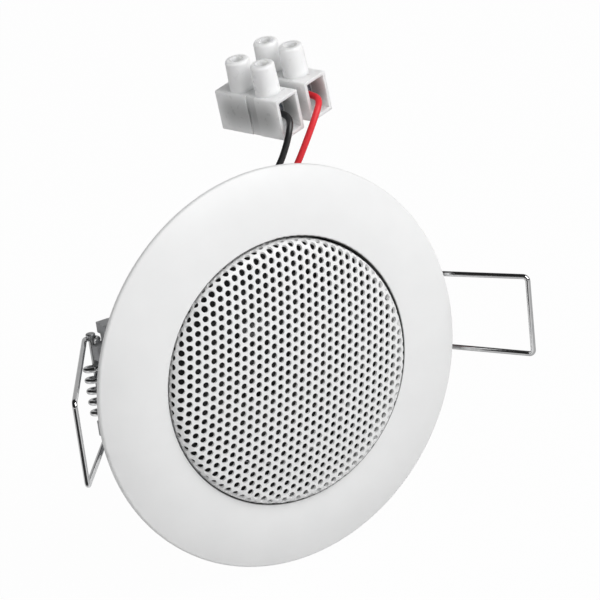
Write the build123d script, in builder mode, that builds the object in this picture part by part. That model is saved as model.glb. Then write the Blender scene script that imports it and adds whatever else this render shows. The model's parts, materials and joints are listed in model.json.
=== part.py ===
"""Small round ceiling speaker with spring clips and a two-pole screw connector.

The face looks along -Y, the ceiling void is on the +Y side and +Z is up. The origin lies on the
speaker's axis in the plane of the ceiling. X runs along the line of the two spring clips.
"""

import os
from math import asin, atan2, cos, degrees, pi, radians, sin, sqrt, tan

from build123d import *

os.makedirs("parts", exist_ok=True)

# Trim ring: radii from the speaker's axis, heights in front of the ceiling
trim_radius = 40.8
trim_lip_height = 4.6
trim_edge_front = 1.7
trim_edge_back = 0.9
trim_edge_round = 0.6
trim_wall = 1.8
land_outer_radius = 38.0
land_width = 2.6
trim_rib_count = 12
trim_rib_thickness = 1.2
opening_radius = 26.95
opening_lip_round = 0.45

# Neck behind the ceiling and the floor that the grille and the driver share
neck_radius = 25.6
neck_wall = 1.3
neck_length = 20.0
floor_front = 1.4
floor_back = 0.6
aperture_radius = 19.9
lead_notch_width = 11.0
lead_notch_start = 10.0
felt_thickness = 0.6
felt_margin = 0.4
felt_fit = 0.1

# Grille: a domed perforated sheet with a rolled edge
grille_gap = 0.45
grille_sheet = 0.5
grille_crown = 8.5
grille_dome_radius = 127.0
grille_edge_round = 1.7
grille_hole_pitch = 4.6
grille_hole_radius = 1.42
grille_hole_field = 24.2
grille_row_angle = 78.9

# Driver: sizes from the front to the back
assembly_gap = 0.3
gasket_thickness = 1.0
basket_sheet = 0.8
screw_circle_radius = 22.5
driver_screw_count = 4
screw_shank_radius = 0.9
screw_head_radius = 1.5
screw_head_height = 1.1
screw_grip = 1.5
screw_clearance = 0.2
screw_recess_width = 0.5
surround_foot_width = 1.3
surround_roll_width = 3.2
surround_sheet = 0.4
cone_sheet = 0.5
cone_depth = 5.4
coil_former_radius = 6.9
coil_former_wall = 0.15
coil_winding_wall = 0.35
coil_winding_length = 4.0
dust_cap_radius = 8.2
dust_cap_rise = 2.4
dust_cap_sheet = 0.4
spider_sheet = 0.4
spider_wave = 0.3
spider_waves = 3
basket_shoulder_depth = 6.8
basket_shoulder_radius = 16.6
basket_shoulder_width = 2.6
basket_seat_depth = 9.8
basket_window_angle = 46.0
basket_window_rim = 1.0
magnet_gap = 0.35
top_plate_radius = 15.0
top_plate_thickness = 2.5
magnet_radius = 16.0
magnet_hole_radius = 9.5
magnet_thickness = 7.0
magnet_bevel = 0.5
back_plate_radius = 15.0
back_plate_thickness = 2.5
back_plate_bevel = 0.8

# Tag board on a tab of the basket, at this bearing from +X towards +Z
tag_bearing = 71.0
tag_tab_width = 12.0
tag_tab_reach = 21.6
tag_board_thickness = 1.2
tag_board_inner = 17.0
tag_spacing = 5.2
tag_width = 2.4
tag_sheet = 0.5
tag_length = 4.6
tag_rivet_radius = 0.7
tag_rivet_head_radius = 1.1
tag_rivet_head_height = 0.4
tag_rivet_circle = 18.2

# Spring clips, drawn for the +X side: heights along the pin, clearance of the arms from the trim's edge
clip_raise = 0.96
pin_offset = 30.34
pin_depth = 18.18
pin_radius = 0.6
pin_head_radius = 0.95
pin_head_height = 0.5
wire_diameter = 1.05
coil_radius = 2.1
coil_pitch = 2.3
coil_turns = 5.1
coil_top = 6.9
hook_radius = 1.35
hook_height = -9.5
hook_angle = 240.0
arm_rim_clearance = 1.64
coil_arm_length = 38.97
coil_arm_corner = 5.61
hook_arm_length = 38.29
hook_arm_corner = -11.03
arm_corner_radius = 0.95
coil_ease_turn = 0.2
coil_ease_length = 2.4
coil_ease_drop = 0.1

# Clip brackets
bracket_gap = 0.05
spring_gap = 0.3
bracket_front = 8.2
bracket_back = 19.8
bracket_corner = 1.0
ear_thickness = 2.9
ear_half_width = 1.5
ear_wall = 0.7
ear_tip_round = 1.0
stop_block_reach = 0.35
stop_block_front = 2.6
guard_block_height = 2.1
guard_block_inset = 1.9
guard_block_back = 0.9
block_edge_round = 0.3
coil_wall_reach = 28.6
coil_wall_back = 22.3
coil_wall_inset = 1.5
pin_clearance = 0.03
pin_head_round = 0.2
bracket_screw_depth = 10.8
bracket_screw_spread = 8.0
bracket_screw_radius = 1.1
bracket_screw_head_radius = 2.1
bracket_screw_head_height = 1.1
bracket_screw_length = 5.0

# Screw connector, in its own frame: x towards the speaker's leads, z along the towers
connector_at = (20.06, 21.31, 41.83)
connector_turn = 15.98
connector_tilt = 8.29
connector_dip = 3.08
pole_length = 16.5
pole_width = 6.3
pole_height = 8.6
pole_pitch = 8.73
pole_wall = 0.7
mouth_depth = 3.8
pole_edge_round = 0.35
pole_groove_at = 1.0
pole_groove_width = 2.4
pole_groove_depth = 0.4
web_length = 8.0
web_height = 6.6
web_hole_radius = 1.3
tower_radius = 2.6
tower_top_radius = 2.45
tower_height = 6.4
tower_spacing = 6.76
tower_bore_radius = 1.35
tower_rim_round = 0.6
sleeve_radius = 2.2
sleeve_clearance = 0.05
sleeve_bore_radius = 1.5
sleeve_axis_height = 4.4
clamp_screw_radius = 1.25
clamp_screw_length = 6.0
clamp_screw_slot = 0.5
clamp_screw_slot_depth = 0.7
clamp_screw_turn = 70.0

# Leads, from the solder tag to the connector
lead_diameter = 1.35
lead_clearance = 0.08
bend_share = 0.45
black_route = [
    (3.92, 14.75, 19.4),
    (5.6, 14.5, 24.2),
    (8.0, 13.2, 28.8),
    (10.6, 11.6, 32.8),
    (12.95, 10.2, 36.4),
    (14.6, 9.55, 40.0),
    (15.95, 9.7, 42.9),
    (17.15, 11.2, 44.6),
    (17.14, 13.68, 45.21),
    (16.55, 15.70, 45.33),
]
red_route = [
    (8.84, 14.75, 17.7),
    (10.9, 14.5, 22.8),
    (13.3, 13.4, 27.6),
    (15.5, 12.2, 31.6),
    (17.6, 11.3, 35.1),
    (20.4, 10.9, 39.7),
    (23.4, 11.1, 44.2),
    (25.55, 12.9, 46.05),
    (25.45, 16.06, 46.47),
    (24.85, 18.07, 46.58),
]

# Sizes that follow from the ones above
opening_floor = -floor_front
neck_bore = neck_radius - neck_wall
driver_face = floor_back + gasket_thickness
basket_radius = neck_bore - assembly_gap
roll_outer_radius = aperture_radius - assembly_gap - surround_foot_width / 10
cone_radius = roll_outer_radius - surround_roll_width
foot_radius = roll_outer_radius + surround_foot_width
seat_face = driver_face + basket_seat_depth
top_plate_back = seat_face + basket_sheet + top_plate_thickness
magnet_back = top_plate_back + magnet_thickness
yoke_back = magnet_back + back_plate_thickness
pole_radius = coil_former_radius - coil_former_wall - magnet_gap
winding_radius = coil_former_radius + coil_winding_wall
top_plate_bore = winding_radius + magnet_gap


def profile(*points):
    """A closed outline of straight lines in the half plane of radius and depth."""
    with BuildSketch(Plane.XY) as outline:
        with BuildLine():
            Polyline(*points, close=True)
        make_face()
    return outline.sketch


def ring(inner, outer, front, back):
    """The section of a flat ring round the speaker's axis."""
    return profile((inner, front), (outer, front), (outer, back), (inner, back))


def around(bearing, radius, depth):
    """A point at a bearing from +X towards +Z, at a radius and a depth."""
    return (radius * cos(radians(bearing)), depth, radius * sin(radians(bearing)))


def facing_back(bearing, radius, depth):
    """A plane at that point with its normal towards the ceiling void."""
    outward = around(bearing, 1, 0)
    return Plane(origin=around(bearing, radius, depth), x_dir=outward, z_dir=(0, 1, 0))


screw_bearings = [45 + tag_bearing + 360 / driver_screw_count * i for i in range(driver_screw_count)]

# Clip frame: the arms point along arm_dir at rest, past the trim's back edge; arm_normal is square to it
pin_at = Vector(pin_offset, pin_depth, 0)
to_edge = Vector(trim_radius, -trim_edge_back, 0) - pin_at
rest = atan2(-to_edge.Y, to_edge.X) - asin(arm_rim_clearance / to_edge.length)
arm_dir = Vector(cos(rest), -sin(rest), 0)
arm_normal = Vector(sin(rest), cos(rest), 0)
hook_at = pin_at + Vector(0, 0, hook_height)
hook_corner = pin_at + arm_dir * hook_arm_length + Vector(0, 0, hook_arm_corner)
coil_corner = pin_at + arm_dir * coil_arm_length + Vector(0, 0, coil_arm_corner)
hook_taper = asin(hook_radius / hook_arm_length)
coil_taper = asin(coil_radius / coil_arm_length)
hook_in = arm_dir * sin(hook_taper) + arm_normal * cos(hook_taper)
coil_in = arm_dir * sin(coil_taper) - arm_normal * cos(coil_taper)
hook_leaves = hook_at + hook_in * hook_radius
coil_leaves = pin_at + coil_in * coil_radius + Vector(0, 0, coil_top)
coil_height = coil_pitch * coil_turns
coil_bottom = coil_top - coil_height
clip_places = {
    "right": Pos(0, 0, clip_raise),
    "left": Pos(0, 0, clip_raise) * Rot(0, 180, 0),
}

# Housing: trim ring, neck and floor in one moulding
with BuildPart() as housing:
    with BuildSketch(Plane.XY) as trim_section:
        with BuildLine():
            lip = (opening_radius, -trim_lip_height)
            edge_front = (trim_radius, -trim_edge_front)
            TangentArc(lip, edge_front, tangent=(1, 0))
            Polyline(
                edge_front,
                (trim_radius, -trim_edge_back),
                (land_outer_radius, 0),
                (neck_radius, 0),
                (neck_radius, neck_length),
                (neck_bore, neck_length),
                (neck_bore, floor_back),
                (aperture_radius, floor_back),
                (aperture_radius, opening_floor),
                (opening_radius, opening_floor),
                lip,
            )
        make_face()
        fillet(trim_section.vertices().sort_by_distance(lip)[0], opening_lip_round)
        fillet(trim_section.vertices().sort_by_distance(edge_front)[0], trim_edge_round)
    revolve(axis=Axis.Y)
    # The hollow behind the trim ring follows its face, with ribs across it
    hollow_inner = opening_radius + trim_wall
    hollow_outer = land_outer_radius - land_width
    hollow_shallow = trim_edge_front + (trim_lip_height - trim_edge_front) / 2 - trim_wall
    with BuildSketch(Plane.XY):
        with BuildLine():
            Polyline(
                (hollow_inner, 0),
                (hollow_inner, trim_wall - trim_lip_height),
                (hollow_outer, -hollow_shallow),
                (hollow_outer, 0),
                close=True,
            )
        make_face()
    revolve(axis=Axis.Y, mode=Mode.SUBTRACT)
    hollow_middle = (hollow_inner + hollow_outer) / 2
    hollow_span = hollow_outer - hollow_inner + trim_wall
    for i in range(trim_rib_count):
        with Locations(facing_back(360 / trim_rib_count * (i + 0.5), hollow_middle, -hollow_shallow / 2)):
            Box(hollow_span, trim_rib_thickness, hollow_shallow)
    # Pilot holes for the driver's screws
    for bearing in screw_bearings:
        with Locations(facing_back(bearing, screw_circle_radius, floor_back)):
            Hole(screw_shank_radius, depth=screw_grip + screw_clearance)
    # The notch where the leads leave the neck
    notch_depth = neck_length - lead_notch_start
    with Locations(facing_back(tag_bearing, neck_radius - neck_wall / 2, lead_notch_start + notch_depth / 2)):
        Box(3 * neck_wall, lead_notch_width, notch_depth, mode=Mode.SUBTRACT)
    # Pilot holes for the clip brackets' screws
    for place in clip_places.values():
        for side in (-bracket_screw_spread, bracket_screw_spread):
            with Locations(place * Location((neck_radius, bracket_screw_depth, side), (0, 90, 0))):
                Hole(bracket_screw_radius, depth=neck_radius / 2)
housing.part.label = "housing"
export_step(housing.part, "parts/housing.step")

# Grille: spherical dome, rolled edge and a skirt that stands on the felt ring
skirt_radius = opening_radius - grille_gap
dome_centre = grille_dome_radius - grille_crown


def dome_depth(radius, sphere_radius):
    """Depth of a sphere round the dome's centre at a radius from the axis."""
    return dome_centre - sqrt(sphere_radius**2 - radius**2)


def hex_centres(pitch, field, angle):
    """Hole centres of a triangular grid inside a round field."""
    steps = range(-int(2 * field / pitch), int(2 * field / pitch) + 1)
    centres = []
    for row in steps:
        for column in steps:
            point = Vector(pitch * (column + row / 2), pitch * row * sqrt(3) / 2)
            if point.length <= field:
                centres.append(point.rotate(Axis.Z, angle))
    return centres


with BuildPart() as grille:
    inner_sphere = grille_dome_radius - grille_sheet
    skirt_bore = skirt_radius - grille_sheet
    skirt_end = opening_floor - felt_thickness - bracket_gap
    with BuildSketch(Plane.XY) as grille_section:
        with BuildLine():
            outer_crown = (0, dome_depth(0, grille_dome_radius))
            outer_edge = (skirt_radius, dome_depth(skirt_radius, grille_dome_radius))
            inner_crown = (0, dome_depth(0, inner_sphere))
            inner_edge = (skirt_bore, dome_depth(skirt_bore, inner_sphere))
            half = skirt_radius / 2
            ThreePointArc(outer_crown, (half, dome_depth(half, grille_dome_radius)), outer_edge)
            Polyline(outer_edge, (skirt_radius, skirt_end), (skirt_bore, skirt_end), inner_edge)
            ThreePointArc(inner_edge, (half, dome_depth(half, inner_sphere)), inner_crown)
            Line(inner_crown, outer_crown)
        make_face()
        fillet(grille_section.vertices().sort_by_distance(outer_edge)[0], grille_edge_round)
        fillet(grille_section.vertices().sort_by_distance(inner_edge)[0], grille_edge_round - grille_sheet)
    revolve(axis=Axis.Y)
    with BuildSketch(Plane.XZ):
        with Locations(*hex_centres(grille_hole_pitch, grille_hole_field, grille_row_angle)):
            Circle(grille_hole_radius)
    extrude(amount=grille_crown + grille_sheet, mode=Mode.SUBTRACT)
grille.part.label = "grille"
export_step(grille.part, "parts/grille.step")

# Felt ring on the floor, under the grille's skirt and dark behind its outer holes
with BuildPart() as felt_ring:
    revolve(
        ring(
            aperture_radius + felt_margin,
            opening_radius - felt_fit,
            opening_floor - felt_thickness,
            opening_floor,
        ),
        axis=Axis.Y,
    )
felt_ring.part.label = "felt_ring"
export_step(felt_ring.part, "parts/felt_ring.step")

# Foam gasket between the floor and the driver
with BuildPart() as driver_gasket:
    revolve(ring(foot_radius + assembly_gap, basket_radius, floor_back, driver_face), axis=Axis.Y)
    for bearing in screw_bearings:
        with Locations(facing_back(bearing, screw_circle_radius, driver_face)):
            Hole(screw_shank_radius + screw_clearance)
driver_gasket.part.label = "driver_gasket"
export_step(driver_gasket.part, "parts/driver_gasket.step")

# Basket: pressed flange, open cone, shoulder for the spider, seat for the magnet and a tab for the tags
shoulder_face = driver_face + basket_shoulder_depth
shoulder_bore = basket_shoulder_radius - basket_shoulder_width
seat_radius = shoulder_bore - basket_sheet
with BuildPart() as basket:
    revolve(
        profile(
            (basket_radius, driver_face),
            (roll_outer_radius, driver_face),
            (basket_shoulder_radius, shoulder_face),
            (shoulder_bore, shoulder_face),
            (seat_radius, seat_face),
            (top_plate_bore, seat_face),
            (top_plate_bore, seat_face + basket_sheet),
            (seat_radius + basket_sheet, seat_face + basket_sheet),
            (shoulder_bore + basket_sheet, shoulder_face + basket_sheet),
            (basket_shoulder_radius + basket_sheet, shoulder_face + basket_sheet),
            (roll_outer_radius + basket_sheet, driver_face + basket_sheet),
            (basket_radius, driver_face + basket_sheet),
        ),
        axis=Axis.Y,
    )
    window_front = driver_face + basket_sheet + basket_window_rim
    window_back = shoulder_face - basket_window_rim
    for bearing in screw_bearings:
        start = bearing + basket_window_angle / 2
        window_plane = Plane(
            origin=(0, 0, 0), x_dir=around(start, 1, 0), z_dir=around(start + 90, 1, 0)
        )
        with BuildSketch(window_plane):
            with BuildLine():
                Polyline(
                    (seat_radius, window_front),
                    (basket_radius, window_front),
                    (basket_radius, window_back),
                    (seat_radius, window_back),
                    close=True,
                )
            make_face()
        revolve(axis=Axis.Y, revolution_arc=basket_window_angle, mode=Mode.SUBTRACT)
    tab_middle = (seat_radius + tag_tab_reach) / 2
    with Locations(facing_back(tag_bearing, tab_middle, seat_face + basket_sheet / 2)):
        Box(tag_tab_reach - seat_radius, tag_tab_width, basket_sheet)
    with Locations(facing_back(tag_bearing, tag_rivet_circle, seat_face + basket_sheet)):
        with Locations((0, tag_spacing / 2), (0, -tag_spacing / 2)):
            Hole(tag_rivet_radius, depth=2 * basket_sheet)
    for bearing in screw_bearings:
        with Locations(facing_back(bearing, screw_circle_radius, driver_face + basket_sheet)):
            Hole(screw_shank_radius + screw_clearance, depth=2 * basket_sheet)
basket.part.label = "basket"
export_step(basket.part, "parts/basket.step")

# Surround: foot on the basket, half roll and a lip over the cone's rim
roll_middle = roll_outer_radius - surround_roll_width / 2
roll_rise = surround_roll_width / 2
lip_radius = cone_radius - surround_foot_width
with BuildPart() as surround:
    with BuildSketch(Plane.XY):
        with BuildLine():
            front = driver_face - surround_sheet
            foot = Polyline(
                (roll_outer_radius, front),
                (foot_radius, front),
                (foot_radius, driver_face),
                (roll_outer_radius - surround_sheet, driver_face),
            )
            inner_roll = ThreePointArc(
                foot @ 1,
                (roll_middle, driver_face - roll_rise + surround_sheet),
                (cone_radius + surround_sheet, driver_face),
            )
            lip_line = Polyline(
                inner_roll @ 1, (lip_radius, driver_face), (lip_radius, front), (cone_radius, front)
            )
            ThreePointArc(lip_line @ 1, (roll_middle, front - roll_rise + surround_sheet), foot @ 0)
        make_face()
    revolve(axis=Axis.Y)
surround.part.label = "surround"
export_step(surround.part, "parts/surround.step")

# Cone: rim under the surround's lip, straight flank, neck on the voice coil former
rim_face = driver_face + assembly_gap
neck_face = rim_face + cone_depth
former_outer = coil_former_radius
with BuildPart() as cone:
    revolve(
        profile(
            (cone_radius, rim_face),
            (lip_radius, rim_face),
            (former_outer, neck_face),
            (former_outer, neck_face + cone_sheet),
            (lip_radius, rim_face + cone_sheet),
            (cone_radius, rim_face + cone_sheet),
        ),
        axis=Axis.Y,
    )
cone.part.label = "cone"
export_step(cone.part, "parts/cone.step")

# Dust cap: a dome that stands on the cone's flank
flank_slope = cone_depth / (lip_radius - former_outer)
cap_face = rim_face + (lip_radius - dust_cap_radius) * flank_slope
cap_sphere = (dust_cap_radius**2 + dust_cap_rise**2) / (2 * dust_cap_rise)


def cap_depth(radius, sphere_radius):
    """Depth of the dust cap's dome at a radius from the axis."""
    return cap_face - dust_cap_rise + cap_sphere - sqrt(sphere_radius**2 - radius**2)


with BuildPart() as dust_cap:
    inner_cap = cap_sphere - dust_cap_sheet
    cap_bore = dust_cap_radius - dust_cap_sheet
    with BuildSketch(Plane.XY):
        with BuildLine():
            half = dust_cap_radius / 2
            outer_cap_line = ThreePointArc(
                (0, cap_depth(0, cap_sphere)),
                (half, cap_depth(half, cap_sphere)),
                (dust_cap_radius, cap_face),
            )
            inner_cap_line = ThreePointArc(
                (cap_bore, cap_depth(cap_bore, inner_cap)),
                (half, cap_depth(half, inner_cap)),
                (0, cap_depth(0, inner_cap)),
            )
            Line(outer_cap_line @ 1, inner_cap_line @ 0)
            Line(inner_cap_line @ 1, outer_cap_line @ 0)
        make_face()
    revolve(axis=Axis.Y)
dust_cap.part.label = "dust_cap"
export_step(dust_cap.part, "parts/dust_cap.step")

# Spider: flat rim on the basket's shoulder and round waves in to the former
spider_back = shoulder_face
spider_inner = former_outer + assembly_gap
wave_outer = shoulder_bore
half_waves = 2 * spider_waves
half_wave = (wave_outer - spider_inner) / half_waves


def wave_line(depth):
    """The waves from the rim inwards, as a chain of arcs at a depth."""
    points = []
    for i in range(half_waves):
        start = wave_outer - half_wave * i
        swing = spider_wave if i % 2 else -spider_wave
        points.append(((start, depth), (start - half_wave / 2, depth + swing), (start - half_wave, depth)))
    return points


with BuildPart() as spider:
    with BuildSketch(Plane.XY):
        with BuildLine():
            for arc_points in wave_line(spider_back) + wave_line(spider_back - spider_sheet):
                ThreePointArc(*arc_points)
            Polyline(
                (wave_outer, spider_back),
                (basket_shoulder_radius - assembly_gap, spider_back),
                (basket_shoulder_radius - assembly_gap, spider_back - spider_sheet),
                (wave_outer, spider_back - spider_sheet),
            )
            Line((spider_inner, spider_back), (spider_inner, spider_back - spider_sheet))
        make_face()
    revolve(axis=Axis.Y)
spider.part.label = "spider"
export_step(spider.part, "parts/spider.step")

# Voice coil: former and winding, centred in the gap of the top plate
gap_middle = seat_face + basket_sheet + top_plate_thickness / 2
winding_front = gap_middle - coil_winding_length / 2
winding_back = gap_middle + coil_winding_length / 2
with BuildPart() as voice_coil_former:
    revolve(
        ring(former_outer - coil_former_wall, former_outer, neck_face, winding_back), axis=Axis.Y
    )
voice_coil_former.part.label = "voice_coil_former"
export_step(voice_coil_former.part, "parts/voice_coil_former.step")

with BuildPart() as voice_coil:
    revolve(ring(former_outer, winding_radius, winding_front, winding_back), axis=Axis.Y)
voice_coil.part.label = "voice_coil"
export_step(voice_coil.part, "parts/voice_coil.step")

# Magnet system
with BuildPart() as top_plate:
    revolve(ring(top_plate_bore, top_plate_radius, seat_face + basket_sheet, top_plate_back), axis=Axis.Y)
top_plate.part.label = "top_plate"
export_step(top_plate.part, "parts/top_plate.step")

with BuildPart() as magnet:
    revolve(ring(magnet_hole_radius, magnet_radius, top_plate_back, magnet_back), axis=Axis.Y)
    chamfer(magnet.edges().filter_by(GeomType.CIRCLE).group_by(SortBy.RADIUS)[-1], magnet_bevel)
magnet.part.label = "magnet"
export_step(magnet.part, "parts/magnet.step")

with BuildPart() as yoke:
    revolve(
        profile(
            (0, seat_face),
            (pole_radius, seat_face),
            (pole_radius, magnet_back),
            (back_plate_radius, magnet_back),
            (back_plate_radius, yoke_back - back_plate_bevel),
            (back_plate_radius - back_plate_bevel, yoke_back),
            (0, yoke_back),
        ),
        axis=Axis.Y,
    )
yoke.part.label = "yoke"
export_step(yoke.part, "parts/yoke.step")

# Tag board with two solder tags and the rivets that hold them on the basket's tab
board_face = seat_face + basket_sheet
tag_face = board_face + tag_board_thickness
tag_back = tag_face + tag_sheet
with BuildPart() as tag_board:
    board_middle = (tag_board_inner + tag_tab_reach) / 2
    with Locations(facing_back(tag_bearing, board_middle, board_face + tag_board_thickness / 2)):
        Box(tag_tab_reach - tag_board_inner, tag_tab_width - 2 * assembly_gap, tag_board_thickness)
    with Locations(facing_back(tag_bearing, tag_rivet_circle, tag_face)):
        with Locations((0, tag_spacing / 2), (0, -tag_spacing / 2)):
            Hole(tag_rivet_radius, depth=2 * tag_board_thickness)
tag_board.part.label = "tag_board"
export_step(tag_board.part, "parts/tag_board.step")

with BuildPart() as solder_tags:
    tag_middle = tag_board_inner + assembly_gap + tag_length / 2
    with Locations(facing_back(tag_bearing, tag_middle, tag_face + tag_sheet / 2)):
        with Locations((0, tag_spacing / 2), (0, -tag_spacing / 2)):
            Box(tag_length, tag_width, tag_sheet)
    with Locations(facing_back(tag_bearing, tag_rivet_circle, tag_back)):
        with Locations((0, tag_spacing / 2), (0, -tag_spacing / 2)):
            Hole(tag_rivet_radius, depth=2 * tag_sheet)
solder_tags.part.label = "solder_tags"
export_step(solder_tags.part, "parts/solder_tags.step")

with BuildPart() as tag_rivets:
    rivet_length = tag_back - seat_face
    bottom_align = (Align.CENTER, Align.CENTER, Align.MIN)
    with Locations(facing_back(tag_bearing, tag_rivet_circle, seat_face)):
        with Locations((0, tag_spacing / 2), (0, -tag_spacing / 2)):
            Cylinder(tag_rivet_radius, rivet_length, align=bottom_align)
    with Locations(
        facing_back(tag_bearing, tag_rivet_circle, tag_back),
        facing_back(tag_bearing, tag_rivet_circle, seat_face - tag_rivet_head_height),
    ):
        with Locations((0, tag_spacing / 2), (0, -tag_spacing / 2)):
            Cylinder(tag_rivet_head_radius, tag_rivet_head_height, align=bottom_align)
tag_rivets.part.label = "tag_rivets"
export_step(tag_rivets.part, "parts/tag_rivets.step")

# Driver screws, from behind through basket and gasket into the floor
with BuildPart() as basket_screws:
    head_face = driver_face + basket_sheet
    shank_length = head_face - floor_back + screw_grip
    for bearing in screw_bearings:
        with Locations(facing_back(bearing, screw_circle_radius, head_face)):
            Cylinder(screw_head_radius, screw_head_height, align=bottom_align)
        with Locations(facing_back(bearing, screw_circle_radius, head_face - shank_length)):
            Cylinder(screw_shank_radius - pin_clearance, shank_length, align=bottom_align)
        with Locations(facing_back(bearing, screw_circle_radius, head_face + screw_head_height)):
            for turn in (0, 90):
                Box(
                    screw_head_radius,
                    screw_recess_width,
                    screw_head_height,
                    rotation=(0, 0, turn),
                    mode=Mode.SUBTRACT,
                )
basket_screws.part.label = "basket_screws"
export_step(basket_screws.part, "parts/basket_screws.step")

# Clip bracket, drawn for the +X side: saddle on the neck, ear, stop block and arm guard along the pin
wire_radius = wire_diameter / 2
coil_room = coil_radius + wire_radius + spring_gap
bracket_face = pin_offset - coil_room
hook_rise = hook_radius * abs(hook_arm_corner - hook_height) / hook_arm_length
hook_room = wire_radius + spring_gap + hook_rise
stop_low = hook_height + hook_room
stop_high = coil_bottom - wire_radius - spring_gap
ear_low = coil_top + wire_radius + spring_gap
bracket_top = ear_low + ear_thickness
guard_high = hook_height - hook_room
bracket_bottom = guard_high - guard_block_height
low_align = (Align.MIN, Align.CENTER, Align.MIN)
screw_sides = (-bracket_screw_spread, bracket_screw_spread)


def block(reach, front, back, low, high, rounding):
    """A block that stands out from the neck to a reach, with its outer corners rounded."""
    with BuildSketch(Plane.XY.offset(low)) as outline:
        with Locations(((neck_radius + reach) / 2, (front + back) / 2)):
            Rectangle(reach - neck_radius, back - front)
        fillet(outline.vertices().group_by(Axis.X)[-1], rounding)
    extrude(outline.sketch, amount=high - low)


with BuildPart() as bracket:
    with Locations((neck_bore - neck_wall, (bracket_front + bracket_back) / 2, bracket_bottom)):
        Box(
            bracket_face - neck_bore + neck_wall,
            bracket_back - bracket_front,
            bracket_top - bracket_bottom,
            align=low_align,
        )
    fillet(bracket.edges().filter_by(Axis.X), bracket_corner)
    block(
        coil_wall_reach,
        bracket_back - bracket_corner,
        coil_wall_back,
        coil_bottom,
        coil_top - coil_wall_inset,
        block_edge_round,
    )
    with Locations((pin_offset, pin_depth, stop_high)):
        Cylinder(coil_room, ear_low - stop_high, align=bottom_align, mode=Mode.SUBTRACT)
    block(
        pin_offset + pin_radius + ear_wall,
        pin_depth - ear_half_width,
        pin_depth + ear_half_width,
        ear_low,
        bracket_top,
        ear_tip_round,
    )
    block(
        pin_offset + stop_block_reach,
        pin_depth - stop_block_front,
        pin_depth + stop_block_reach,
        stop_low,
        stop_high,
        block_edge_round,
    )
    block(
        pin_offset - guard_block_inset,
        pin_depth - stop_block_front,
        pin_depth + guard_block_back,
        bracket_bottom,
        guard_high,
        block_edge_round,
    )
    with Locations(Plane.XY.offset(bracket_top)):
        with Locations((pin_offset, pin_depth)):
            Hole(pin_radius + pin_clearance)
    with Locations(*[Location((0, 0, height), (90, 0, 0)) for height in (-clip_raise, clip_raise)]):
        Cylinder(neck_radius + bracket_gap, 4 * bracket_back, mode=Mode.SUBTRACT)
    for side in screw_sides:
        with Locations(Location((bracket_face, bracket_screw_depth, side), (0, 90, 0))):
            Hole(bracket_screw_radius + screw_clearance, depth=bracket_face / 2)

with BuildPart() as pin:
    with Locations((pin_offset, pin_depth, guard_high)):
        Cylinder(pin_radius, bracket_top - guard_high, align=bottom_align)
    with Locations((pin_offset, pin_depth, guard_high - pin_head_height)):
        Cylinder(pin_head_radius, pin_head_height, align=bottom_align)
    fillet(pin.edges().group_by(Axis.Z)[0], pin_head_round)

# Clip spring, drawn for the +X side: one wire with a hook, two arms, a crossbar and a coil
hook_run = (hook_corner - hook_leaves).normalized()


def hook_point(turn):
    """A point of the hook, that far round the pin from where the arm leaves it."""
    return hook_at + (hook_in * cos(radians(turn)) - hook_run * sin(radians(turn))) * hook_radius


coil_start = degrees(atan2(coil_in.Y, coil_in.X)) - 360 * coil_turns
wound_height = coil_height - coil_pitch * coil_ease_turn
helix = Helix(pitch=coil_pitch, height=wound_height, radius=coil_radius, mode=Mode.PRIVATE)
coil = Pos(pin_offset, pin_depth, coil_bottom) * Rot(0, 0, coil_start) * helix
ease_from = coil_leaves + (coil_corner - coil_leaves).normalized() * coil_ease_length
with BuildPart() as spring:
    with BuildLine() as wire_path:
        ThreePointArc(hook_point(hook_angle), hook_point(hook_angle / 2), hook_leaves)
        FilletPolyline(hook_leaves, hook_corner, coil_corner, ease_from, radius=arm_corner_radius)
        crest = coil_leaves - Vector(0, 0, coil_ease_drop)
        Spline(ease_from, crest, coil @ 1, tangents=(coil_leaves - ease_from, -(coil % 1)))
        add(coil)
    wire = wire_path.wire()
    with BuildSketch(Plane(origin=wire @ 0, z_dir=wire % 0)):
        Circle(wire_radius)
    sweep(path=wire)

for side, place in clip_places.items():
    for name, piece in (("bracket", bracket), ("pin", pin), ("spring", spring)):
        placed = place * piece.part
        placed.label = f"{side}_{name}"
        export_step(placed, f"parts/{side}_{name}.step")

# Bracket screws, through the saddle into the neck
with BuildPart() as bracket_screws:
    for place in clip_places.values():
        for side in screw_sides:
            with Locations(place * Location((bracket_face, bracket_screw_depth, side), (0, 90, 0))):
                Cylinder(bracket_screw_head_radius, bracket_screw_head_height, align=bottom_align)
            tip = bracket_face - bracket_screw_length
            with Locations(place * Location((tip, bracket_screw_depth, side), (0, 90, 0))):
                Cylinder(bracket_screw_radius - pin_clearance, bracket_screw_length, align=bottom_align)
            head_top = bracket_face + bracket_screw_head_height
            with Locations(place * Location((head_top, bracket_screw_depth, side), (0, 90, 0))):
                for turn in (0, 90):
                    Box(
                        bracket_screw_head_radius,
                        screw_recess_width,
                        bracket_screw_head_height,
                        rotation=(0, 0, turn),
                        mode=Mode.SUBTRACT,
                    )
bracket_screws.part.label = "bracket_screws"
export_step(bracket_screws.part, "parts/bracket_screws.step")

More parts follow.
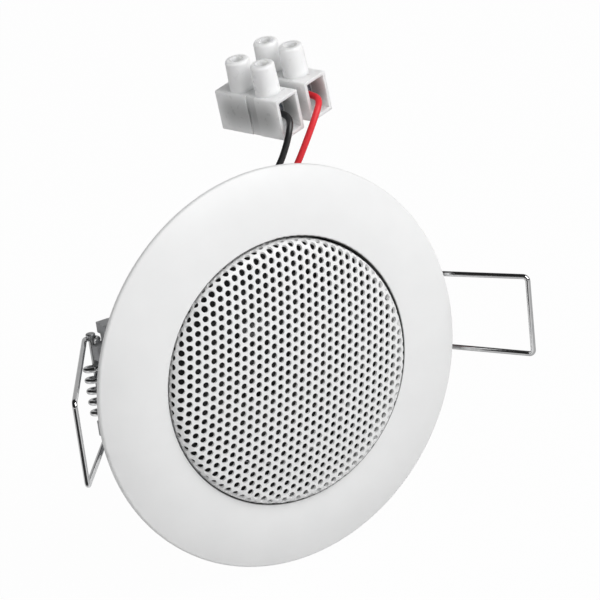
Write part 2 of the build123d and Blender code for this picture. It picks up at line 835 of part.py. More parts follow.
# Screw connector: two poles on a web, a tower over each clamping screw
turn, tilt, dip = radians(connector_turn), radians(connector_tilt), radians(connector_dip)
level = Vector(sin(turn), -cos(turn), 0)
upright = Vector(-sin(tilt) * cos(turn), -sin(tilt) * sin(turn), cos(tilt))
connector_plane = Plane(
    origin=connector_at,
    x_dir=level * cos(dip) - upright * sin(dip),
    z_dir=upright * cos(dip) + level * sin(dip),
)
pole_sides = (-pole_pitch / 2, pole_pitch / 2)
tower_ends = (-tower_spacing / 2, tower_spacing / 2)
with BuildPart() as connector_body:
    with Locations(*[(0, side, 0) for side in pole_sides]):
        Box(pole_length, pole_width, pole_height, align=bottom_align)
    fillet(connector_body.edges().filter_by(Axis.X), pole_edge_round)
    Box(web_length, pole_pitch, web_height, align=bottom_align)
    with Locations(*[(end, side, pole_height) for side in pole_sides for end in tower_ends]):
        Cone(tower_radius, tower_top_radius, tower_height, align=bottom_align)
    fillet(connector_body.edges().group_by(Axis.Z)[-1], tower_rim_round)
    mouth_middle = (pole_length - mouth_depth) / 2
    mouth_ends = (-mouth_middle, mouth_middle)
    with Locations(*[(end, side, pole_height / 2) for side in pole_sides for end in mouth_ends]):
        Box(
            mouth_depth,
            pole_width - 2 * pole_wall,
            pole_height - 2 * pole_wall,
            mode=Mode.SUBTRACT,
        )
    with Locations(*[Location((0, side, sleeve_axis_height), (0, 90, 0)) for side in pole_sides]):
        Cylinder(sleeve_radius + sleeve_clearance, pole_length, mode=Mode.SUBTRACT)
    with Locations(*[(end, side, sleeve_axis_height) for side in pole_sides for end in tower_ends]):
        Cylinder(tower_bore_radius, pole_height + tower_height, align=bottom_align, mode=Mode.SUBTRACT)
    Cylinder(web_hole_radius, 3 * web_height, mode=Mode.SUBTRACT)
    outer_face = (pole_pitch + pole_width) / 2
    with Locations((pole_groove_at, -outer_face, 0), (pole_groove_at, outer_face, 0)):
        Box(pole_groove_width, 2 * pole_groove_depth, 3 * pole_height, mode=Mode.SUBTRACT)

# Sleeves: a wide bore for the supply wire and a bore that fits the speaker's lead
sleeve_length = pole_length - 2 * mouth_depth - 2 * sleeve_clearance
with BuildPart() as connector_sleeves:
    for side in pole_sides:
        with Locations(Location((0, side, sleeve_axis_height), (0, 90, 0))):
            Cylinder(sleeve_radius, sleeve_length)
            with Locations((0, 0, sleeve_length / 4)):
                Cylinder(lead_diameter / 2 + lead_clearance, sleeve_length / 2, mode=Mode.SUBTRACT)
            with Locations((0, 0, -sleeve_length / 4)):
                Cylinder(sleeve_bore_radius, sleeve_length / 2, mode=Mode.SUBTRACT)
        with Locations(*[(end, side, sleeve_axis_height) for end in tower_ends]):
            Cylinder(
                clamp_screw_radius + pin_clearance, pole_height, align=bottom_align, mode=Mode.SUBTRACT
            )

# Clamping screws: the lead side tightened down, the supply side open
tightened = sleeve_axis_height + lead_diameter / 2 + lead_clearance
opened = sleeve_axis_height + sleeve_bore_radius + screw_clearance
with BuildPart() as connector_screws:
    for side in pole_sides:
        for end, tip in zip(tower_ends, (opened, tightened)):
            with Locations((end, side, tip)):
                Cylinder(clamp_screw_radius, clamp_screw_length, align=bottom_align)
            with Locations((end, side, tip + clamp_screw_length)):
                Box(
                    3 * clamp_screw_radius,
                    clamp_screw_slot,
                    2 * clamp_screw_slot_depth,
                    rotation=(0, 0, clamp_screw_turn * tip),
                    mode=Mode.SUBTRACT,
                )

for name, piece in (
    ("connector_body", connector_body),
    ("connector_sleeves", connector_sleeves),
    ("connector_screws", connector_screws),
):
    placed = connector_plane.location * piece.part
    placed.label = name
    export_step(placed, f"parts/{name}.step")


def bend_radii(route):
    """The bend at each inner point of a route, as wide as its shorter run allows."""
    radii = []
    for before, here, after in zip(route, route[1:], route[2:]):
        run_in = Vector(*here) - Vector(*before)
        run_out = Vector(*after) - Vector(*here)
        turn = radians(run_in.get_angle(run_out))
        radii.append(bend_share * min(run_in.length, run_out.length) / tan(turn / 2))
    return radii


# Leads, each one round tube along its route
for name, route in (("black_lead", black_route), ("red_lead", red_route)):
    with BuildPart() as lead:
        with BuildLine() as lead_path:
            FilletPolyline(*route, radius=bend_radii(route))
        lead_wire = lead_path.wire()
        with BuildSketch(Plane(origin=lead_wire @ 0, z_dir=lead_wire % 0)):
            Circle(lead_diameter / 2)
        sweep(path=lead_wire)
    lead.part.label = name
    export_step(lead.part, f"parts/{name}.step")
    volume_share = lead.part.volume / (pi * lead_diameter**2 / 4 * lead_wire.length)
    print(name, "bend radii", [round(radius, 1) for radius in bend_radii(route)])
    print(name, "length", round(lead_wire.length, 1), "volume share", round(volume_share, 4))
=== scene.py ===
"""Looks of the small ceiling speaker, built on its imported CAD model."""

import json
from math import atan, cos, hypot, pi, radians, sin, sqrt

import bpy
from mathutils import Matrix, Vector


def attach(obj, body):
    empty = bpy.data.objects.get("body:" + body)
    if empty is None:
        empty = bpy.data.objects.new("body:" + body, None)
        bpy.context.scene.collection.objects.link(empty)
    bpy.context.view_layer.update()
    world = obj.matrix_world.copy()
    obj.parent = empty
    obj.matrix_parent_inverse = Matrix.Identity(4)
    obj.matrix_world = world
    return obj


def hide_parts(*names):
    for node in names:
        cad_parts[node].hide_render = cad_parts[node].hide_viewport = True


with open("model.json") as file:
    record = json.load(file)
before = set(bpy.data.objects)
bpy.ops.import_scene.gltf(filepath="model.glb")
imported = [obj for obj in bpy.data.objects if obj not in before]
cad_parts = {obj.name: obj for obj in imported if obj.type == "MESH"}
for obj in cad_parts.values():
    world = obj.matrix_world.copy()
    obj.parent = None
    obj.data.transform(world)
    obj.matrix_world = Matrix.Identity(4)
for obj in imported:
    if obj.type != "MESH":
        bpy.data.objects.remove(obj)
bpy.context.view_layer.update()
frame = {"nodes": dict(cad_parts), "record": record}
MM = 0.001

# Camera of the photograph, in the part's own frame
view_right = Vector((0.8414, -0.5235, -0.1340))
view_up = Vector((0.2829, 0.2154, 0.9347))
view_back = Vector((-0.4604, -0.8244, 0.3293))
view_place = Vector((-314.639, -576.456, 241.918)) * MM

# Grille sheet: dome, rolled edge and skirt of its inner face, with its hole pattern
dome_crown = 8.5
dome_square = 0.003058
dome_fourth = 1.43e-6
skirt_radius = 26.2
skirt_end = -2.05
roll_radius = 1.7
sheet_thickness = 0.5
hole_pitch = 1.843
hole_radius = 0.63
hole_sides = 12
row_turn = radians(78.94)
first_hole = Vector((-2.36, 1.675))
hole_limit = 28.4
sheet_limit = 29.7
seat_shift = Vector((-0.16, 0.0, -0.11))

# Connector: its middle, its own axes, and where the metal sleeves lie in it
connector_middle = Vector((19.516, 20.908, 46.178))
connector_long = Vector((0.2824, -0.9578, -0.0532))
connector_wide = Vector((0.9513, 0.2725, 0.1442))
connector_tall = Vector((-0.1236, -0.0913, 0.9881))
sleeve_half = 4.4
pole_half = 4.365

# Leads: the route points of the CAD tubes
lead_diameter = 1.35
black_route = [
    (3.92, 14.75, 19.4),
    (5.6, 14.5, 24.2),
    (8.0, 13.2, 28.8),
    (10.6, 11.6, 32.8),
    (12.95, 10.2, 36.4),
    (14.6, 9.55, 40.0),
    (15.95, 9.7, 42.9),
    (17.15, 11.2, 44.6),
    (17.14, 13.68, 45.21),
    (16.55, 15.70, 45.33),
]
red_route = [
    (8.84, 14.75, 17.7),
    (10.9, 14.5, 22.8),
    (13.3, 13.4, 27.6),
    (15.5, 12.2, 31.6),
    (17.6, 11.3, 35.1),
    (20.4, 10.9, 39.7),
    (23.4, 11.1, 44.2),
    (25.55, 12.9, 46.05),
    (25.45, 16.06, 46.47),
    (24.85, 18.07, 46.58),
]


def place_camera():
    """The photograph's camera: long lens, from the front left and a little above."""
    camera = bpy.data.objects.new("photo_camera", bpy.data.cameras.new("photo_camera"))
    camera.data.sensor_fit = "HORIZONTAL"
    camera.data.sensor_width = 36.0
    camera.data.lens = 212.76
    camera.data.clip_start = 0.01
    turn = Matrix((view_right, view_up, view_back)).transposed().to_4x4()
    camera.matrix_world = Matrix.Translation(view_place) @ turn
    bpy.context.scene.collection.objects.link(camera)
    bpy.context.scene.camera = camera


def softbox(name, place, size, power, mirrored):
    """A square studio lamp turned towards the part; bright metal mirrors it or not."""
    lamp = bpy.data.objects.new(name, bpy.data.lights.new(name, "AREA"))
    lamp.data.size = size
    lamp.data.energy = power
    lamp.location = place
    lamp.rotation_euler = (-Vector(place)).to_track_quat("-Z", "Y").to_euler()
    lamp.visible_glossy = mirrored
    bpy.context.scene.collection.objects.link(lamp)


def add_gradient(tree, value, start, end, low, high):
    """A node that runs from low to high while a value runs from start to end."""
    spread = tree.nodes.new("ShaderNodeMapRange")
    spread.inputs["From Min"].default_value = start
    spread.inputs["From Max"].default_value = end
    spread.inputs["To Min"].default_value = low
    spread.inputs["To Max"].default_value = high
    tree.links.new(value, spread.inputs["Value"])
    return spread.outputs["Result"]


def light_studio():
    """White surroundings, two soft lamps and a pale floor that keeps a faint shadow."""
    world = bpy.data.worlds.new("studio")
    bpy.context.scene.world = world
    world.use_nodes = True
    tree = world.node_tree
    nodes, links = tree.nodes, tree.links
    room = nodes["Background"]
    toward = nodes.new("ShaderNodeTexCoord").outputs["Generated"]
    height = nodes.new("ShaderNodeSeparateXYZ")
    links.new(toward, height.inputs["Vector"])
    links.new(add_gradient(tree, height.outputs["Z"], 0.05, 0.45, 1.07, 0.25), room.inputs["Strength"])
    # Bright metal mirrors dark flags, and a white card behind the part
    behind = nodes.new("ShaderNodeVectorMath")
    behind.operation = "DOT_PRODUCT"
    behind.inputs[1].default_value = (0.60, 0.75, -0.28)
    links.new(toward, behind.inputs[0])
    mirrored = nodes.new("ShaderNodeBackground")
    links.new(add_gradient(tree, behind.outputs["Value"], 0.50, 0.85, 0.02, 0.45), mirrored.inputs["Strength"])
    white = nodes.new("ShaderNodeBackground")
    white.inputs["Strength"].default_value = 1.0
    for shade in (room, mirrored, white):
        shade.inputs["Color"].default_value = (1.0, 1.0, 1.0, 1.0)
    seen = nodes.new("ShaderNodeLightPath").outputs
    by_metal, by_camera = nodes.new("ShaderNodeMixShader"), nodes.new("ShaderNodeMixShader")
    links.new(seen["Is Glossy Ray"], by_metal.inputs[0])
    links.new(room.outputs[0], by_metal.inputs[1])
    links.new(mirrored.outputs[0], by_metal.inputs[2])
    links.new(seen["Is Camera Ray"], by_camera.inputs[0])
    links.new(by_metal.outputs[0], by_camera.inputs[1])
    links.new(white.outputs[0], by_camera.inputs[2])
    links.new(by_camera.outputs[0], nodes["World Output"].inputs["Surface"])

    softbox("key_box", (0.35, -0.75, 0.70), 0.90, 9.4, True)
    softbox("side_box", (-0.85, -0.25, 0.35), 0.40, 0.5, False)

    bpy.ops.mesh.primitive_plane_add(size=6.0, location=(0, 0, -0.0416))
    floor = bpy.context.object
    floor.name = "floor"
    paper = bpy.data.materials.new("floor_paper")
    paper.use_nodes = True
    nodes, links = paper.node_tree.nodes, paper.node_tree.links
    matt = nodes["Principled BSDF"]
    matt.inputs["Base Color"].default_value = (0.55, 0.55, 0.55, 1.0)
    matt.inputs["Roughness"].default_value = 0.9
    # White to the camera; metal mirrors a dark card in front of the part, with white round it
    card = nodes.new("ShaderNodeVectorMath")
    card.operation = "DISTANCE"
    card.inputs[1].default_value = (-0.16, -0.10, 0.0)
    links.new(nodes.new("ShaderNodeTexCoord").outputs["Object"], card.inputs[0])
    edge = add_gradient(paper.node_tree, card.outputs["Value"], 0.115, 0.15, 0.03, 0.90)
    far = add_gradient(paper.node_tree, card.outputs["Value"], 0.155, 0.20, 1.0, 0.55)
    seen = nodes.new("ShaderNodeLightPath").outputs
    mirrored, strength, direct, faint = [nodes.new("ShaderNodeMath") for _ in range(4)]
    mirrored.operation, faint.operation = "MULTIPLY", "MULTIPLY"
    strength.operation, direct.operation = "MAXIMUM", "MAXIMUM"
    links.new(edge, mirrored.inputs[0])
    links.new(far, mirrored.inputs[1])
    links.new(seen["Is Camera Ray"], strength.inputs[0])
    links.new(mirrored.outputs[0], strength.inputs[1])
    links.new(seen["Is Camera Ray"], direct.inputs[0])
    links.new(seen["Is Glossy Ray"], direct.inputs[1])
    links.new(direct.outputs[0], faint.inputs[0])
    faint.inputs[1].default_value = 0.98
    glow = nodes.new("ShaderNodeEmission")
    links.new(strength.outputs[0], glow.inputs["Strength"])
    blend = nodes.new("ShaderNodeMixShader")
    links.new(faint.outputs[0], blend.inputs[0])
    links.new(matt.outputs[0], blend.inputs[1])
    links.new(glow.outputs[0], blend.inputs[2])
    links.new(blend.outputs[0], nodes["Material Output"].inputs["Surface"])
    floor.data.materials.append(paper)
    bpy.context.scene.view_settings.view_transform = "Standard"


class Finish:
    """A procedural material on Object coordinates, put together step by step."""

    def __init__(self, name, metallic=0.0):
        self.material = bpy.data.materials.new(name)
        self.material.use_nodes = True
        self.nodes = self.material.node_tree.nodes
        self.links = self.material.node_tree.links
        self.shader = self.nodes["Principled BSDF"]
        self.shader.inputs["Metallic"].default_value = metallic
        self.coords = self.nodes.new("ShaderNodeTexCoord").outputs["Object"]

    def stretched(self, stretch):
        """The coordinates scaled along each axis."""
        mapping = self.nodes.new("ShaderNodeMapping")
        mapping.inputs["Scale"].default_value = stretch
        self.links.new(self.coords, mapping.inputs["Vector"])
        return mapping.outputs["Vector"]

    def noise(self, size_mm, detail=2.0, stretch=(1, 1, 1)):
        """Cloudy noise whose patches measure about size_mm."""
        texture = self.nodes.new("ShaderNodeTexNoise")
        texture.inputs["Scale"].default_value = 1 / (size_mm * MM)
        texture.inputs["Detail"].default_value = detail
        self.links.new(self.stretched(stretch), texture.inputs["Vector"])
        return texture.outputs["Fac"]

    def cells(self, size_mm):
        """Cell pattern, for foam and sintered grain."""
        texture = self.nodes.new("ShaderNodeTexVoronoi")
        texture.inputs["Scale"].default_value = 1 / (size_mm * MM)
        self.links.new(self.coords, texture.inputs["Vector"])
        return texture.outputs["Distance"]

    def bands(self, pitch_mm, direction, wobble=0.0):
        """Parallel bands or rings, for windings, weave and turning marks."""
        texture = self.nodes.new("ShaderNodeTexWave")
        texture.wave_type = "RINGS" if direction in ("RX", "RY", "RZ") else "BANDS"
        if texture.wave_type == "RINGS":
            texture.rings_direction = direction[1]
        else:
            texture.bands_direction = direction
        texture.inputs["Scale"].default_value = 0.314 / (pitch_mm * MM)
        texture.inputs["Distortion"].default_value = wobble
        self.links.new(self.coords, texture.inputs["Vector"])
        return texture.outputs["Fac"]

    def tint(self, pattern, low, high, start=0.3, end=0.7):
        """Base colour running from low to high with a pattern."""
        ramp = self.nodes.new("ShaderNodeValToRGB")
        ramp.color_ramp.elements[0].position = start
        ramp.color_ramp.elements[0].color = (*low, 1.0)
        ramp.color_ramp.elements[1].position = end
        ramp.color_ramp.elements[1].color = (*high, 1.0)
        self.links.new(pattern, ramp.inputs["Fac"])
        self.links.new(ramp.outputs["Color"], self.shader.inputs["Base Color"])
        return self

    def gloss(self, pattern, low, high):
        """Roughness running from low to high with a pattern."""
        rough = add_gradient(self.material.node_tree, pattern, 0.3, 0.7, low, high)
        self.links.new(rough, self.shader.inputs["Roughness"])
        return self

    def relief(self, pattern, depth_mm, strength=1.0):
        """Surface relief of a pattern, stacked on any relief there already is."""
        bump = self.nodes.new("ShaderNodeBump")
        bump.inputs["Distance"].default_value = depth_mm * MM
        bump.inputs["Strength"].default_value = strength
        self.links.new(pattern, bump.inputs["Height"])
        under = self.shader.inputs["Normal"]
        if under.is_linked:
            self.links.new(under.links[0].from_socket, bump.inputs["Normal"])
        self.links.new(bump.outputs["Normal"], under)
        return self

    def math(self, operation, first, second):
        """A math node on two values, each a socket or a number."""
        node = self.nodes.new("ShaderNodeMath")
        node.operation = operation
        for place, value in zip(node.inputs, (first, second)):
            if isinstance(value, float):
                place.default_value = value
            else:
                self.links.new(value, place)
        return node.outputs[0]

    def along(self, axis):
        """Distance in millimetres from the connector's middle along one of its axes."""
        offset = self.nodes.new("ShaderNodeVectorMath")
        offset.operation = "SUBTRACT"
        offset.inputs[1].default_value = connector_middle * MM
        self.links.new(self.coords, offset.inputs[0])
        dot = self.nodes.new("ShaderNodeVectorMath")
        dot.operation = "DOT_PRODUCT"
        dot.inputs[1].default_value = axis / MM
        self.links.new(offset.outputs["Vector"], dot.inputs[0])
        return dot.outputs["Value"]

    def from_sleeves(self):
        """Distance in millimetres from the metal sleeve in the nearer pole of the connector."""
        square = None
        for axis, half in ((connector_long, sleeve_half), (connector_wide, pole_half), (connector_tall, 0.0)):
            reach = self.math("ABSOLUTE", self.along(axis), 0.0)
            reach = self.math("SUBTRACT", reach, half)
            if axis is connector_long:
                reach = self.math("MAXIMUM", reach, 0.0)
            part = self.math("MULTIPLY", reach, reach)
            square = part if square is None else self.math("ADD", square, part)
        return self.math("SQRT", square, 0.0)

    def from_axis(self, wall, back):
        """Distance in millimetres from the speaker's axis, taken past the wall behind a depth."""
        flat, reach = [self.nodes.new("ShaderNodeVectorMath") for _ in range(2)]
        flat.operation, reach.operation = "MULTIPLY", "LENGTH"
        flat.inputs[1].default_value = (1 / MM, 0.0, 1 / MM)
        self.links.new(self.coords, flat.inputs[0])
        self.links.new(flat.outputs["Vector"], reach.inputs[0])
        depth = self.nodes.new("ShaderNodeSeparateXYZ")
        self.links.new(self.coords, depth.inputs["Vector"])
        behind = self.math("MULTIPLY", depth.outputs["Y"], 1 / MM)
        behind = self.math("ADD", behind, wall - back)
        return self.math("MAXIMUM", reach.outputs["Value"], behind)

    def darken(self, distance, near, far, share):
        """Base colour brought down to a share of itself near something."""
        shade = add_gradient(self.material.node_tree, distance, near, far, share, 1.0)
        blend = self.nodes.new("ShaderNodeMix")
        blend.data_type = "RGBA"
        blend.blend_type = "MULTIPLY"
        blend.inputs[0].default_value = 1.0
        base = self.shader.inputs["Base Color"]
        self.links.new(base.links[0].from_socket, blend.inputs[6])
        self.links.new(shade, blend.inputs[7])
        self.links.new(blend.outputs[2], base)
        return self

    def socket(self, **values):
        """Constant values set on the shader's own sockets."""
        for name, value in values.items():
            self.shader.inputs[name.replace("_", " ")].default_value = value
        return self


def make_finishes():
    """One finish for each material slot of the record."""
    made = {}

    trim = Finish("white_moulding")
    trim.tint(trim.noise(9, 3), (0.835, 0.838, 0.838), (0.86, 0.862, 0.862))
    trim.gloss(trim.noise(3, 2), 0.34, 0.42)
    trim.relief(trim.noise(0.35, 2), 0.004, 0.5)
    # Painted shade: the white base colour is darkened inside the opening, standing in for the shadow in the gap
    # round the grille
    trim.darken(trim.from_axis(27.1, -0.6), 27.1, 27.3, 0.03)
    made["trim"] = trim

    grille = Finish("grille_powder_coat")
    grille.tint(grille.noise(7, 3), (0.84, 0.842, 0.842), (0.872, 0.874, 0.874))
    grille.gloss(grille.noise(1.6, 2), 0.36, 0.46)
    grille.relief(grille.noise(0.45, 3), 0.006, 0.6)
    made["grille"] = grille

    bracket = Finish("grey_moulding")
    bracket.tint(bracket.noise(2.5, 4), (0.34, 0.345, 0.355), (0.41, 0.415, 0.425))
    bracket.gloss(bracket.noise(1.2, 2), 0.42, 0.55)
    bracket.relief(bracket.noise(0.25, 2), 0.006, 0.6)
    made["bracket"] = bracket

    spring = Finish("nickel_wire", metallic=1.0)
    spring.tint(spring.noise(1.4, 3), (0.70, 0.705, 0.715), (0.80, 0.80, 0.80))
    spring.gloss(spring.noise(0.6, 2), 0.05, 0.12)
    spring.relief(spring.noise(0.3, 2), 0.003, 0.25)
    made["spring"] = spring

    steel = Finish("zinc_plate", metallic=1.0)
    steel.tint(steel.noise(2.2, 4), (0.56, 0.57, 0.59), (0.68, 0.68, 0.67))
    steel.gloss(steel.noise(0.8, 3), 0.24, 0.40)
    steel.relief(steel.bands(0.12, "RY", 1.0), 0.003, 0.5)
    made["steel"] = steel

    connector = Finish("milky_moulding")
    connector.tint(connector.noise(5, 3), (0.93, 0.94, 0.94), (0.96, 0.965, 0.965))
    connector.gloss(connector.noise(1.5, 2), 0.26, 0.36)
    connector.relief(connector.noise(0.5, 2), 0.006, 0.4)
    connector.socket(
        IOR=1.5, Subsurface_Weight=0.9, Subsurface_Radius=(1.0, 1.0, 0.97), Subsurface_Scale=0.0014
    )
    connector.darken(connector.from_sleeves(), 2.8, 5.2, 0.44)
    made["connector"] = connector

    brass = Finish("nickel_brass", metallic=1.0)
    brass.tint(brass.noise(1.2, 3), (0.42, 0.46, 0.54), (0.56, 0.59, 0.64))
    brass.gloss(brass.noise(0.5, 2), 0.18, 0.32)
    brass.relief(brass.noise(0.15, 2), 0.003, 0.5)
    made["brass"] = brass

    black = Finish("black_insulation")
    black.tint(black.noise(1.5, 3), (0.007, 0.007, 0.008), (0.014, 0.014, 0.015))
    black.gloss(black.noise(0.6, 2), 0.36, 0.46)
    black.socket(Specular_IOR_Level=1.0)
    black.relief(black.noise(0.2, 2), 0.004, 0.5)
    made["black_wire"] = black

    red = Finish("red_insulation")
    red.tint(red.noise(1.5, 3), (0.80, 0.024, 0.036), (0.88, 0.036, 0.05))
    red.gloss(red.noise(0.6, 2), 0.34, 0.46)
    red.relief(red.noise(0.2, 2), 0.004, 0.5)
    made["red_wire"] = red

    felt = Finish("black_felt")
    fluff = felt.noise(0.3, 5, (1, 0.6, 1))
    felt.tint(fluff, (0.010, 0.010, 0.010), (0.026, 0.026, 0.027))
    felt.socket(Roughness=0.95, Sheen_Weight=0.1)
    felt.relief(fluff, 0.12, 0.9)
    made["felt"] = felt

    foam = Finish("closed_foam")
    foam.tint(foam.cells(0.35), (0.03, 0.03, 0.03), (0.075, 0.075, 0.078), 0.1, 0.8)
    foam.socket(Roughness=0.92)
    foam.relief(foam.cells(0.35), 0.08, 0.8)
    made["foam"] = foam

    basket = Finish("black_paint")
    basket.tint(basket.noise(3, 3), (0.035, 0.036, 0.038), (0.06, 0.06, 0.063))
    basket.gloss(basket.noise(0.9, 2), 0.34, 0.5)
    basket.relief(basket.noise(0.3, 2), 0.008, 0.6)
    made["basket"] = basket

    surround = Finish("matt_rubber")
    surround.tint(surround.noise(1.8, 3), (0.022, 0.022, 0.023), (0.042, 0.042, 0.044))
    surround.gloss(surround.noise(0.7, 2), 0.55, 0.7)
    surround.relief(surround.noise(0.2, 2), 0.006, 0.6)
    made["surround"] = surround

    paper = Finish("pulp_paper")
    fibres = paper.noise(0.5, 5, (1, 0.25, 1))
    paper.tint(fibres, (0.035, 0.034, 0.033), (0.085, 0.083, 0.08))
    paper.socket(Roughness=0.85)
    paper.relief(fibres, 0.05, 0.7)
    made["paper"] = paper

    cap = Finish("glossy_dome")
    cap.tint(cap.noise(2, 3), (0.02, 0.02, 0.021), (0.035, 0.035, 0.036))
    cap.gloss(cap.noise(0.8, 2), 0.08, 0.16)
    cap.relief(cap.bands(0.5, "RY"), 0.004, 0.4)
    made["cap"] = cap

    cloth = Finish("resin_cloth")
    weave = cloth.math("MULTIPLY", cloth.bands(0.4, "X", 0.6), cloth.bands(0.4, "Z", 0.6))
    cloth.tint(weave, (0.34, 0.22, 0.08), (0.58, 0.41, 0.18), 0.1, 0.8)
    cloth.socket(Roughness=0.75)
    cloth.relief(weave, 0.06, 0.8)
    made["cloth"] = cloth

    former = Finish("amber_film")
    former.tint(former.noise(2, 3), (0.42, 0.22, 0.06), (0.52, 0.29, 0.09))
    former.gloss(former.noise(0.8, 2), 0.28, 0.4)
    former.relief(former.noise(0.2, 2), 0.003, 0.5)
    made["former"] = former

    copper = Finish("copper_winding", metallic=1.0)
    turns = copper.bands(0.16, "Y")
    copper.tint(turns, (0.42, 0.16, 0.07), (0.78, 0.38, 0.2), 0.1, 0.8)
    copper.gloss(copper.noise(0.6, 2), 0.24, 0.36)
    copper.relief(turns, 0.06, 0.9)
    made["copper"] = copper

    ferrite = Finish("sintered_ferrite")
    ferrite.tint(ferrite.noise(0.6, 5), (0.045, 0.045, 0.048), (0.09, 0.09, 0.094))
    ferrite.gloss(ferrite.noise(1.5, 3), 0.5, 0.68)
    ferrite.relief(ferrite.noise(0.3, 4), 0.02, 0.7)
    made["ferrite"] = ferrite

    board = Finish("phenolic_board")
    board.tint(board.noise(0.8, 4, (1, 0.2, 1)), (0.22, 0.11, 0.045), (0.34, 0.18, 0.08))
    board.gloss(board.noise(0.8, 2), 0.4, 0.55)
    board.relief(board.noise(0.25, 3), 0.01, 0.6)
    made["board"] = board
    return made


def dress_nodes(finishes):
    """Every CAD node that stays in view gets the finish of its slot."""
    for row in frame["record"]["subparts"]:
        node = frame["nodes"][row["node"]]
        node.data.materials.clear()
        node.data.materials.append(finishes[row["material_slot"]].material)


def start_piece(name, finish, body="speaker"):
    """The active object becomes a named piece with its finish, riding on a body."""
    piece = bpy.context.object
    piece.name = name
    piece.data.name = name
    piece.data.materials.clear()
    piece.data.materials.append(finish.material)
    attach(piece, body)
    return piece


def sheet_profile(run):
    """Radius and depth of the grille's inner face, that far along it from the crown."""
    slope_at = 25.4
    for _ in range(6):
        lean = atan(2 * dome_square * slope_at + 4 * dome_fourth * slope_at**3)
        slope_at = skirt_radius - roll_radius * (1 - sin(lean))
    depth_at = -dome_crown + dome_square * slope_at**2 + dome_fourth * slope_at**4
    if run <= slope_at:
        return run, -dome_crown + dome_square * run**2 + dome_fourth * run**4
    roll_turn = min((run - slope_at) / roll_radius, pi / 2 - lean)
    radius = skirt_radius - roll_radius + roll_radius * sin(lean + roll_turn)
    depth = depth_at + roll_radius * (cos(lean) - cos(lean + roll_turn))
    past = max(0.0, run - slope_at - roll_radius * (pi / 2 - lean))
    return radius, min(depth + past, skirt_end)


def nearest_hole(x, z):
    """Centre of the hole whose cell a point of the flat sheet lies in."""
    east = Vector((cos(row_turn), sin(row_turn))) * hole_pitch
    north = Vector((cos(row_turn + pi / 3), sin(row_turn + pi / 3))) * hole_pitch
    step = Vector((x, z)) - first_hole
    area = east.x * north.y - east.y * north.x
    column = (step.x * north.y - step.y * north.x) / area
    row = (east.x * step.y - east.y * step.x) / area
    corners = [(int(column // 1) + i, int(row // 1) + j) for i in (0, 1) for j in (0, 1)]
    centres = [first_hole + east * i + north * j for i, j in corners]
    return min(centres, key=lambda centre: (centre - Vector((x, z))).length)


def on_border(x, z):
    """Whether a point of the flat sheet is on its round edge or between holes."""
    clear = (Vector((x, z)) - nearest_hole(x, z)).length > 1.2 * hole_radius
    return clear or hypot(x, z) > sheet_limit - 0.1


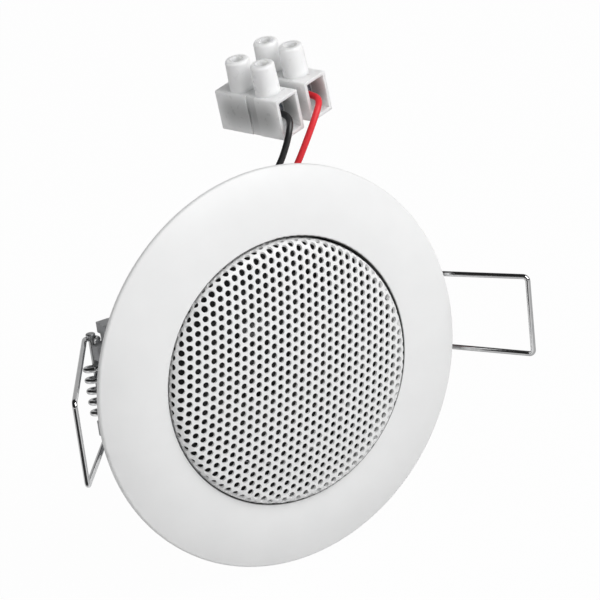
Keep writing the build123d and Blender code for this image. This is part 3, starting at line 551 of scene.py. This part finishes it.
def perforate_grille(finish):
    """The grille: one hexagonal cell with its hole, repeated, then pressed to the dome."""
    bpy.ops.object.select_all(action="DESELECT")
    bpy.ops.mesh.primitive_circle_add(vertices=hole_sides, radius=hole_radius, fill_type="NOTHING")
    cell = bpy.context.object
    # The rim of the cell: corners and edge middles alternate
    bpy.ops.object.mode_set(mode="EDIT")
    bpy.ops.mesh.select_all(action="SELECT")
    bpy.ops.mesh.extrude_edges_move()
    bpy.ops.object.mode_set(mode="OBJECT")
    reach = (hole_pitch / 2, hole_pitch / sqrt(3))
    for index, vertex in enumerate(cell.data.vertices[hole_sides:]):
        angle = row_turn + 2 * pi * index / hole_sides
        vertex.co = Vector((cos(angle), sin(angle), 0)) * reach[index % 2]
    for index, vertex in enumerate(cell.data.vertices[:hole_sides]):
        angle = row_turn + 2 * pi * index / hole_sides
        vertex.co = Vector((cos(angle), sin(angle), 0)) * hole_radius
    # Rows and columns of cells over the whole sheet
    span = int(2.4 * sheet_limit / hole_pitch)
    for label, turn in (("rows", row_turn), ("columns", row_turn + pi / 3)):
        repeat = cell.modifiers.new(label, "ARRAY")
        repeat.count = span
        repeat.use_relative_offset = False
        repeat.use_constant_offset = True
        repeat.constant_offset_displace = (hole_pitch * cos(turn), hole_pitch * sin(turn), 0)
        repeat.use_merge_vertices = True
        repeat.merge_threshold = 0.01
        bpy.ops.object.modifier_apply(modifier=label)
    middle = span // 2
    shift = Vector((cos(row_turn), sin(row_turn), 0)) + Vector((cos(row_turn + pi / 3), sin(row_turn + pi / 3), 0))
    start = Vector((*first_hole, 0)) - shift * hole_pitch * middle
    for vertex in cell.data.vertices:
        vertex.co += start
    # Cells outside the field go, and a plain band joins the rest to a round edge
    bpy.ops.object.mode_set(mode="EDIT")
    bpy.ops.mesh.select_mode(type="FACE")
    bpy.ops.mesh.select_all(action="DESELECT")
    bpy.ops.object.mode_set(mode="OBJECT")
    for face in cell.data.polygons:
        face.select = nearest_hole(face.center.x, face.center.y).length > hole_limit
    bpy.ops.object.mode_set(mode="EDIT")
    bpy.ops.mesh.delete(type="FACE")
    bpy.ops.mesh.select_all(action="SELECT")
    bpy.ops.mesh.remove_doubles(threshold=0.01)
    bpy.ops.mesh.select_all(action="DESELECT")
    bpy.ops.mesh.primitive_circle_add(vertices=180, radius=sheet_limit, fill_type="NOTHING")
    bpy.ops.mesh.select_mode(type="EDGE")
    bpy.ops.mesh.select_all(action="DESELECT")
    bpy.ops.mesh.select_non_manifold(extend=False, use_wire=True, use_boundary=True)
    bpy.ops.object.mode_set(mode="OBJECT")
    points = cell.data.vertices
    for edge in cell.data.edges:
        if edge.select:
            ends = [points[index].co for index in edge.vertices]
            edge.select = all(on_border(p.x, p.y) for p in ends)
    bpy.ops.object.mode_set(mode="EDIT")
    bpy.ops.mesh.fill(use_beauty=True)
    bpy.ops.object.mode_set(mode="OBJECT")
    # Press the flat sheet over the dome, round the rolled edge and down the skirt
    for vertex in cell.data.vertices:
        run = hypot(vertex.co.x, vertex.co.y)
        radius, depth = sheet_profile(run)
        share = radius / run if run else 0.0
        vertex.co = (Vector((vertex.co.x * share, depth, vertex.co.y * share)) + seat_shift) * MM
    bpy.ops.object.mode_set(mode="EDIT")
    bpy.ops.mesh.select_all(action="SELECT")
    bpy.ops.mesh.normals_make_consistent(inside=False)
    bpy.ops.object.mode_set(mode="OBJECT")
    crown = min(cell.data.polygons, key=lambda face: hypot(face.center.x, face.center.z))
    if crown.normal.y > 0:
        cell.data.flip_normals()
    thick = cell.modifiers.new("sheet", "SOLIDIFY")
    thick.thickness = sheet_thickness * MM
    thick.offset = 1.0
    bpy.ops.object.modifier_apply(modifier="sheet")
    bpy.ops.object.shade_smooth_by_angle(angle=radians(40))
    piece = start_piece("grille_sheet", finish)
    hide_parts("grille")


def run_lead(name, route, finish, slot):
    """One insulated lead along its route, as a smooth round cord."""
    curve = bpy.data.curves.new(name, "CURVE")
    curve.dimensions = "3D"
    curve.bevel_depth = lead_diameter / 2 * MM
    curve.bevel_resolution = 5
    curve.resolution_u = 12
    curve.use_fill_caps = True
    spline = curve.splines.new("NURBS")
    spline.points.add(len(route) - 1)
    for point, place in zip(spline.points, route):
        point.co = (*(Vector(place) * MM), 1.0)
    spline.order_u = 3
    spline.use_endpoint_u = True
    curve.materials.append(finish.material)
    lead = bpy.data.objects.new(name, curve)
    bpy.context.scene.collection.objects.link(lead)
    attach(lead, "speaker")
    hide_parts(slot.replace("_wire", "_lead"))


place_camera()
light_studio()
finishes = make_finishes()
dress_nodes(finishes)
run_lead("black_insulated_lead", black_route, finishes["black_wire"], "black_wire")
run_lead("red_insulated_lead", red_route, finishes["red_wire"], "red_wire")
perforate_grille(finishes["grille"])
